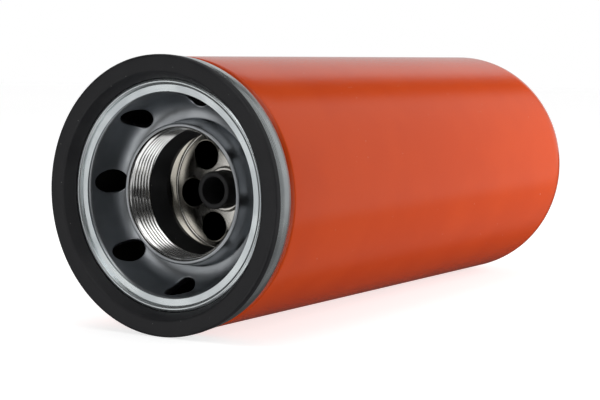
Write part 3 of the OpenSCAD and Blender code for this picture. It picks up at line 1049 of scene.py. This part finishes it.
@dataclass
class ThreadedPlate:
    """The dished nut plate with its inlet holes and its threaded collar."""

    layout: Layout
    sealing: SealingEnd
    thickness: float = 3.3
    crest_r: float = 27.43
    root_r: float = 28.575
    pitch: float = 2.1167
    turns: float = 6.25
    entry: float = 1.3
    rim_w: float = 3.1
    flare: float = 1.5
    dish_r: float = 9.0
    holes: int = 8
    hole_phase: float = 40.0
    hole_half_length: float = 8.5
    hole_half_width: float = 5.1
    hole_shift: float = 1.9
    hole_edge: float = 0.55
    fold_r: float = 1.6
    fold_steps: int = 8
    crest_share: float = 0.25
    flank_share: float = 0.3125
    root_share: float = 0.125
    thread_rows: int = 110
    cell_rows: int = 26
    segments: int = 192

    def front_path(self) -> list[Point2]:
        """Front face of the dish, from the flange's edge to the valley."""
        ring_in = self.sealing.groove_in - 2 * self.sealing.bead_r - self.sealing.ring_w
        wall_r = ring_in - 0.6
        flange = self.layout.face + self.sealing.ring_depth + self.sealing.sheet + 0.06
        valley = self.layout.plate_back - self.thickness
        turn_r = wall_r - 1.1 - self.dish_r
        path = [(self.sealing.groove_in - self.sealing.sheet - 0.1, flange)]
        path += arc(wall_r + self.fold_r, flange + self.fold_r, self.fold_r, -90, -172, self.fold_steps)
        path += arc(turn_r, valley - self.dish_r, self.dish_r, 7, 90, 16)
        return path

    def thread_radius(self, along: float, turn: float) -> float:
        """Radius of the threaded wall.

        Args:
            along: Place along the axis.
            turn: Share of a turn round the axis.

        Returns:
            The radius, limited by the chamfers at both ends.
        """
        phase = (along / self.pitch - turn) % 1.0
        crest, flank = self.crest_share, self.flank_share
        if phase < crest:
            depth = 0.0
        elif phase < crest + flank:
            depth = (phase - crest) / flank
        elif phase < crest + flank + self.root_share:
            depth = 1.0
        else:
            depth = 1.0 - (phase - crest - flank - self.root_share) / flank
        radius = self.crest_r + (self.root_r - self.crest_r) * depth
        mouth = self.crest_r + max(0.0, 0.9 - along) * 1.1
        end = self.layout.plate_back
        tail = self.crest_r + max(0.0, along - end + 0.5) * 0.6
        return max(min(radius, self.root_r), mouth, tail)

    def build(self, finishes: Finishes) -> None:
        """Builds the plate."""
        front = self.front_path()
        sheet = SheetOfRevolution(front, self.thickness, self.first_angle)
        band_start = sheet.runs[self.fold_steps]
        band_end = sheet.length - 0.4
        middle = band_start + self.hole_shift + self.hole_half_length + 0.6
        work = bmesh.new()
        sheet.add_plain(work, 0.0, band_start, self.segments, close_start=True)
        sheet.add_plain(work, band_end, sheet.length, self.segments)
        step = math.tau / self.holes
        radius = sheet.at(middle, 0)[0]
        for i in range(self.holes):
            angle = math.radians(self.hole_phase) + step * i
            hole = slot_hole(middle, angle, self.hole_half_length, self.hole_half_width, radius)
            low = angle - step / 2
            sheet.add_cell(work, band_start, band_end, low, low + step, hole,
                           self.segments // self.holes, self.cell_rows, edge=self.hole_edge, rings=9)
        self.add_collar(work, front[-1], sheet.at(sheet.length, self.thickness))
        self.add_thread(work)
        plate = finish_mesh("threaded_nut_plate", work, 45.0)
        Piece("nut_plate", Body.HOUSING, Slot.ZINC).adopt(plate, finishes)

    def add_collar(self, work: BMesh, valley: Point2, back: Point2) -> None:
        """Adds the collar's outside, its rim and the plate's back, up to the thread.

        Args:
            work: The mesh.
            valley: Last point of the dish's front face.
            back: Last point of its back face.
        """
        rim_r = self.crest_r + self.rim_w
        foot_r = rim_r + self.flare
        outside = rounded([
            (*valley, 0), (foot_r, valley[1], 2.8), (rim_r, -self.entry, 0.9),
            (self.crest_r + 1.5, -self.entry, 0.5), (self.thread_start[0], self.thread_start[1], 0)],
            closed=False, steps=7)
        for strip in (outside, [back, self.thread_end]):
            add_revolved(work, strip, closed=False, segments=self.segments, first=self.first_angle)

    @property
    def first_angle(self) -> float:
        """Angle in radians where the first hole's cell starts."""
        return math.radians(self.hole_phase) - math.pi / self.holes

    @property
    def thread_start(self) -> Point2:
        """First ring of the threaded wall, on its entry chamfer."""
        return self.crest_r + 1.25, -0.3

    @property
    def thread_end(self) -> Point2:
        """Last ring of the threaded wall, at the plate's back."""
        return self.crest_r + 1.2, self.layout.plate_back

    def add_thread(self, work: BMesh) -> None:
        """Adds the helical thread as a grid between its two end rings."""
        start, end = self.thread_start[1], self.thread_end[1]
        steps = self.thread_rows
        rows = []
        for j in range(steps + 1):
            along = start + (end - start) * j / steps
            row = []
            for i in range(self.segments):
                turn = self.first_angle / math.tau + i / self.segments
                if j == 0:
                    radius = self.thread_start[0]
                elif j == steps:
                    radius = self.thread_end[0]
                else:
                    radius = self.thread_radius(along, turn)
                row.append(work.verts.new(spot(radius, along, math.tau * turn)))
            rows.append(row)
        for a, b in zip(rows, rows[1:]):
            for i in range(self.segments):
                m = (i + 1) % self.segments
                work.faces.new((a[i], a[m], b[m], b[i]))


@dataclass
class OutletEnd:
    """Seal, top cap with its outlet cup, and the bypass nozzle."""

    layout: Layout
    cup_r: float = 28.0
    cup_depth: float = 10.5
    wall: float = 0.8
    skirt: float = 6.0
    nozzle_r: float = 8.4
    bore_r: float = 6.0
    hub_wall: float = 1.4
    hub_h: float = 2.6
    outlets: int = 6
    outlet_r: float = 6.6
    outlet_phase: float = 7.4
    crest_r: float = 27.43
    lip: float = 2.8
    foot: float = 8.4
    hub_seat: float = 1.0
    hole_edge: float = 0.28
    cell_rows: int = 22
    segments: int = 180

    @property
    def floor(self) -> float:
        """Place of the cup's floor along the axis."""
        return self.layout.cap_y + self.cup_depth

    def seal(self, finishes: Finishes) -> None:
        """Builds the rubber seal with its lip over the cup's mouth."""
        back, cap = self.layout.plate_back, self.layout.cap_y
        lip_r, spigot_r = self.cup_r - self.lip, self.cup_r - 0.1
        outline = rounded([
            (self.crest_r + 1.4, back, 0.3), (self.cup_r + self.foot - 1.4, back, 0.8),
            (self.cup_r + self.foot, back + 2, 0.8), (self.cup_r + self.foot, cap, 0.2),
            (self.cup_r + 0.9, cap, 0.4), (spigot_r, cap + 0.9, 0.4), (spigot_r, cap + 2.4, 0.5),
            (lip_r + 0.4, cap + 2.4, 0.8), (lip_r, cap - 0.6, 0.9)], steps=6)
        Piece("element_seal", Body.ELEMENTS, Slot.SEAL).adopt(revolved("cup_seal", outline), finishes)

    def cap(self, finishes: Finishes) -> None:
        """Builds the top cap: skirt, plate, cup wall, floor with its holes, and hub."""
        cap_y, floor = self.layout.cap_y, self.floor
        hub_in = self.nozzle_r + 0.1
        hub_out = hub_in + self.hub_wall
        lead = rounded([
            (self.layout.cap_r, cap_y + self.skirt, 0), (self.layout.cap_r, cap_y, 1.8),
            (self.cup_r, cap_y, 1.7),
            (self.cup_r, floor, 1.1), (self.cup_r - 2.2, floor, 0)], closed=False, steps=8)
        path = [(hub_out + self.hub_seat, floor)] + lead[::-1]
        step = math.tau / self.outlets
        first = math.radians(self.outlet_phase) - step / 2
        sheet = SheetOfRevolution(path, -self.wall, first)
        band_end = math.dist(path[0], path[1])
        work = bmesh.new()
        sheet.add_plain(work, band_end, sheet.length, self.segments, close_end=True)
        pitch = (hub_out + self.cup_r) / 2 - 0.3
        for i in range(self.outlets):
            angle = math.radians(self.outlet_phase) + step * i
            hole = round_hole(path[0][0], pitch, angle, self.outlet_r)
            low = angle - step / 2
            sheet.add_cell(work, 0.0, band_end, low, low + step, hole,
                           self.segments // self.outlets, self.cell_rows, edge=self.hole_edge, rings=6)
        hub = rounded([
            (hub_out + self.hub_seat, floor, 0), (hub_out, floor, 0.5), (hub_out, floor - self.hub_h, 0.6),
            (hub_in, floor - self.hub_h, 0.2), (hub_in, floor + self.wall, 0),
            (hub_out + self.hub_seat, floor + self.wall, 0)],
            closed=False, steps=6)
        add_revolved(work, hub, closed=False, segments=self.segments, first=first)
        Piece("top_cap", Body.ELEMENTS, Slot.CAP).adopt(finish_mesh("element_top_cap", work, 50.0), finishes)

    def nozzle(self, finishes: Finishes) -> None:
        """Builds the bypass nozzle with rounded mouth and its stop flange."""
        top, end = self.layout.nozzle_top, self.layout.nozzle_end
        stop = self.floor + self.wall + 0.1
        flange = self.nozzle_r + 1.6
        outline = rounded([
            (self.bore_r, top, 0.7), (self.nozzle_r, top, 1.0), (self.nozzle_r, stop, 0.1),
            (flange, stop, 0.3),
            (flange, stop + 1.6, 0.3), (self.nozzle_r, stop + 1.6, 0.2), (self.nozzle_r, end, 0.6),
            (self.bore_r, end, 0.4)], steps=6)
        Piece("bypass_nozzle", Body.ELEMENTS, Slot.NOZZLE).adopt(
            revolved("bypass_nozzle_tube", outline, segments=96), finishes)


@dataclass
class SpringEnd:
    """The coil spring between its seat and the closed end."""

    wire: float = 3.4
    coil: float = 46.0
    coils: float = 3.5
    closed: float = 0.6
    travel: float = 12.0
    joint: str = "element_float"
    per_coil: int = 60
    round_wire: int = 18

    def build(self, finishes: Finishes) -> None:
        """Builds the spring with closed ends, and gives it a mesh of its own."""
        low, high = (v / MM for v in (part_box("spring")[0][1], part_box("spring")[1][1]))
        wire_r, coil_r = self.wire / 2, (self.coil - self.wire) / 2
        steps = int(self.coils * self.per_coil)
        work = bmesh.new()
        rows = []
        for i in range(steps + 1):
            turn = i / self.per_coil
            share = min(1.0, max(0.0, (turn - self.closed) / (self.coils - 2 * self.closed)))
            along = low + wire_r + (high - low - self.wire) * share
            taper = min(1.0, 0.35 + min(i, steps - i) / 8)
            rows.append(self.ring(work, along, math.tau * turn, coil_r, wire_r * taper))
        for a, b in zip(rows, rows[1:]):
            for k in range(self.round_wire):
                m = (k + 1) % self.round_wire
                work.faces.new((a[k], a[m], b[m], b[k]))
        work.faces.new(rows[0])
        work.faces.new(rows[-1][::-1])
        spring = finish_mesh("coil_spring", work, 50.0)
        Piece("spring", Body.HOUSING, Slot.SPRING).adopt(spring, finishes)
        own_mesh(spring)

    def ring(self, work: BMesh, along: float, angle: float, coil_r: float,
             size: float) -> list[BMVert]:
        """Adds one ring of the wire.

        Args:
            work: The mesh.
            along: Place of the wire's middle along the axis.
            angle: Its angle round the axis.
            coil_r: Radius of the coil to the wire's middle.
            size: Radius of the wire.

        Returns:
            The ring's vertices.
        """
        turns = [math.tau * k / self.round_wire for k in range(self.round_wire)]
        return [work.verts.new(spot(coil_r + size * math.cos(t), along + size * math.sin(t), angle))
                for t in turns]


@dataclass
class HiddenElements:
    """Pieces inside the can that keep their own meshes."""

    slots: dict[str, Slot]

    def dress(self, nodes: dict[str, Object], finishes: Finishes) -> None:
        """Gives each hidden node its material."""
        for name, slot in self.slots.items():
            finishes.dress(nodes[name], slot)
            LOG.info("%s: own mesh", name)


# ---- Studio


@dataclass
class Studio:
    """Pale floor, soft lights and the camera."""

    azimuth: float = 32.89
    elevation: float = 4.9
    lens: float = 96.7
    sensor: float = 36.0
    shift: tuple[float, float] = (0.0008, -0.0012)
    eye: Point3 = (0.41745, -0.55274, 0.0569)
    matte_light: float = 0.43
    dim_room: float = 0.045
    floor_reach: float = 6.0
    floor_glow: float = 0.36
    cards: tuple[tuple[Point3, float, float, float], ...] = (
        ((-0.54, -0.84, -0.085), 18.0, 16.0, 0.80),
        ((0.12, -0.80, 0.575), 14.0, 12.0, 1.6),
        ((0.08, -0.70, -0.70), 18.0, 14.0, 1.1),
        ((0.50, -0.76, -0.40), 13.0, 12.0, 0.9),
        ((0.80, -0.50, -0.06), 16.0, 14.0, 0.60),
        ((0.42, -0.45, 0.78), 18.0, 16.0, 0.45),
        ((0.43, -0.19, 0.88), 13.0, 8.0, 1.5),
        ((-0.54, -0.07, 0.82), 12.0, 12.0, 0.35),
        ((-0.05, 0.16, 0.98), 11.0, 8.0, 1.2),
    )
    wedges: tuple[tuple[float, float, float, float], ...] = (
        (150.5, 38.5, 4.0, 0.55),
        (28.0, 56.0, 9.0, 0.36),
        (-55.0, 27.0, 8.0, 0.13),
    )
    softboxes: tuple[tuple[str, Point3, Point3, float, float], ...] = (
        ("side_softbox", (0.35, 0.40, 0.10), (0.0, 0.26, 0.0), 0.3, 1.15),
        ("top_softbox", (-0.10, 0.15, 1.3), (0.0, 0.12, 0.0), 1.2, 8.0),
    )

    def camera(self) -> None:
        """Makes the camera and makes it the scene's camera."""
        a, e = math.radians(self.azimuth), math.radians(self.elevation)
        back = Vector((math.sin(a) * math.cos(e), -math.cos(a) * math.cos(e), math.sin(e)))
        right = Vector((math.cos(a), math.sin(a), 0.0))
        up = back.cross(right)
        turn = Matrix((right, up, back)).transposed().to_4x4()
        data = bpy.data.cameras.new("studio_camera")
        data.lens = self.lens
        data.sensor_width = self.sensor
        data.shift_x, data.shift_y = self.shift
        data.clip_end = 20.0
        camera = bpy.data.objects.new("studio_camera", data)
        camera.matrix_world = Matrix.Translation(Vector(self.eye)) @ turn
        bpy.context.scene.collection.objects.link(camera)
        bpy.context.scene.camera = camera

    def floor(self) -> None:
        """Makes the plain pale floor under the filter."""
        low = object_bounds()[0][2]
        reach = self.floor_reach
        work = bmesh.new()
        corners = ((-reach, -reach), (reach, -reach), (reach, reach), (-reach, reach))
        work.faces.new([work.verts.new((x, y, low)) for x, y in corners])
        floor = finish_mesh("studio_floor", work)
        material, graph, shader = blank_material("pale_floor")
        place = graph.place()
        cloud = graph.noise(place, 3.0, detail=1.0)
        patches = graph.ramp(cloud.outputs[0], 0.3, 0.7)
        tone = graph.mix(patches, (0.62, 0.62, 0.62), (0.60, 0.60, 0.60))
        graph.wire(tone, shader.inputs["Base Color"])
        set_inputs(shader, Roughness=0.8, Emission_Color=(*WHITE, 1.0))
        seen = graph.add("ShaderNodeLightPath").outputs["Is Camera Ray"]
        glow = graph.calc("MULTIPLY_ADD", seen, self.floor_glow, self.floor_glow)
        graph.wire(glow, shader.inputs["Emission Strength"])
        floor.data.materials.append(material)
        floor.visible_glossy = False
        floor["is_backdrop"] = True

    def softbox(self, name: str, place: Point3, target: Point3,
                side: float, power: float) -> None:
        """Adds a square soft light that the camera doesn't see.

        Args:
            name: The light's name.
            place: Its place in metres.
            target: The point it faces.
            side: Length of its side in metres.
            power: Its power in watts.
        """
        data = bpy.data.lights.new(name, "AREA")
        data.shape = "SQUARE"
        data.size = side
        data.energy = power
        light = bpy.data.objects.new(name, data)
        light.location = place
        light.rotation_euler = (Vector(target) - Vector(place)).to_track_quat("-Z", "Y").to_euler()
        light.visible_camera = False
        light.visible_glossy = False
        bpy.context.scene.collection.objects.link(light)

    def wedge(self, graph: Graph, turn: Socket, centre: float, half: float,
              soft: float, value: float) -> Socket:
        """Brightness of a long soft card that runs beside the filter's axis.

        Args:
            graph: The world's graph.
            turn: Angle round the axis from straight down, in turns from -0.5 to 0.5.
            centre: Angle of the card's middle in degrees, from +X towards +Z.
            half: Half its width in degrees.
            soft: Width of its soft edge in degrees.
            value: Its brightness.

        Returns:
            The brightness socket.
        """
        middle = math.radians((centre + 90.0 + 180.0) % 360.0 - 180.0)
        away = graph.calc("ABSOLUTE", graph.calc("SUBTRACT", turn, middle))
        return graph.ramp(away, math.radians(half - soft / 2), math.radians(half + soft / 2), value, 0.0)

    def card(self, graph: Graph, direction: Socket, centre: Point3,
             half: float, soft: float, value: float) -> Socket:
        """Brightness of a round soft card.

        Args:
            graph: The world's graph.
            direction: The direction looked in.
            centre: Direction of the card's middle.
            half: Half its width in degrees.
            soft: Width of its soft edge in degrees.
            value: Its brightness.

        Returns:
            The brightness socket.
        """
        dot = graph.add("ShaderNodeVectorMath", operation="DOT_PRODUCT")
        graph.wire(direction, dot.inputs[0])
        dot.inputs[1].default_value = Vector(centre).normalized()
        edge_out, edge_in = math.cos(math.radians(half + soft / 2)), math.cos(math.radians(half - soft / 2))
        return graph.ramp(dot.outputs["Value"], edge_out, edge_in, 0.0, value)

    def world(self) -> None:
        """Makes the soft room: white to the eye, even on matte surfaces, dark with cards on shiny ones."""
        world = bpy.data.worlds.new("soft_room")
        world.use_nodes = True
        world.cycles.sampling_method = "NONE"
        graph = Graph(world.node_tree)
        shade = world.node_tree.nodes["Background"]
        direction = graph.add("ShaderNodeTexCoord").outputs["Generated"]
        parts = graph.add("ShaderNodeSeparateXYZ")
        graph.wire(direction, parts.inputs[0])
        x, y, z = parts.outputs
        turn = graph.calc("ARCTAN2", x, graph.calc("MULTIPLY", z, -1.0))
        behind = graph.ramp(y, 0.3, 0.7)
        total: object = self.dim_room
        for centre, half, soft, value in self.wedges:
            wedge = self.wedge(graph, turn, centre, half, soft, value)
            total = graph.calc("MULTIPLY_ADD", wedge, behind, total)
        for centre, half, soft, value in self.cards:
            total = graph.calc("ADD", total, self.card(graph, direction, centre, half, soft, value))
        path = graph.add("ShaderNodeLightPath")
        room = graph.calc("MULTIPLY", path.outputs["Is Diffuse Ray"], self.matte_light)
        shiny = graph.calc("MULTIPLY", graph.calc("SUBTRACT", 1.0, path.outputs["Is Diffuse Ray"]), total)
        level = graph.calc("MAXIMUM", graph.calc("ADD", room, shiny), path.outputs["Is Camera Ray"])
        grey = graph.add("ShaderNodeCombineColor")
        for socket in grey.inputs[:3]:
            graph.wire(level, socket)
        graph.wire(grey.outputs[0], shade.inputs["Color"])
        bpy.context.scene.world = world

    def build(self) -> None:
        """Builds the whole studio."""
        self.camera()
        self.floor()
        self.world()
        for softbox in self.softboxes:
            self.softbox(*softbox)
        bpy.context.scene.view_settings.view_transform = "Standard"


HIDDEN = {
    "full_flow_tube": Slot.CAP,
    "full_flow_media": Slot.PAPER,
    "media_clip": Slot.BARE,
    "top_bead": Slot.ADHESIVE,
    "bottom_bead": Slot.ADHESIVE,
    "bottom_cap": Slot.CAP,
    "nozzle_grommet": Slot.SEAL,
    "bypass_top_plate": Slot.CAP,
    "filter_discs": Slot.DISC,
    "hub_rings": Slot.BARE,
    "bypass_tube": Slot.CAP,
    "bypass_base_plate": Slot.CAP,
    "spring_seat": Slot.BARE,
}


def main() -> None:
    """Builds every piece and the studio."""
    logging.basicConfig(level=logging.INFO, format="%(message)s")
    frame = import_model()
    layout = Layout.read()
    finishes = Finishes.build()
    sealing = SealingEnd(layout)
    outlet = OutletEnd(layout)
    Can(layout).build(finishes)
    sealing.lid(finishes)
    sealing.gasket(finishes)
    ThreadedPlate(layout, sealing).build(finishes)
    outlet.seal(finishes)
    outlet.cap(finishes)
    outlet.nozzle(finishes)
    SpringEnd().build(finishes)
    HiddenElements(HIDDEN).dress(frame["nodes"], finishes)
    Studio().build()


if __name__ == "__main__":
    main()
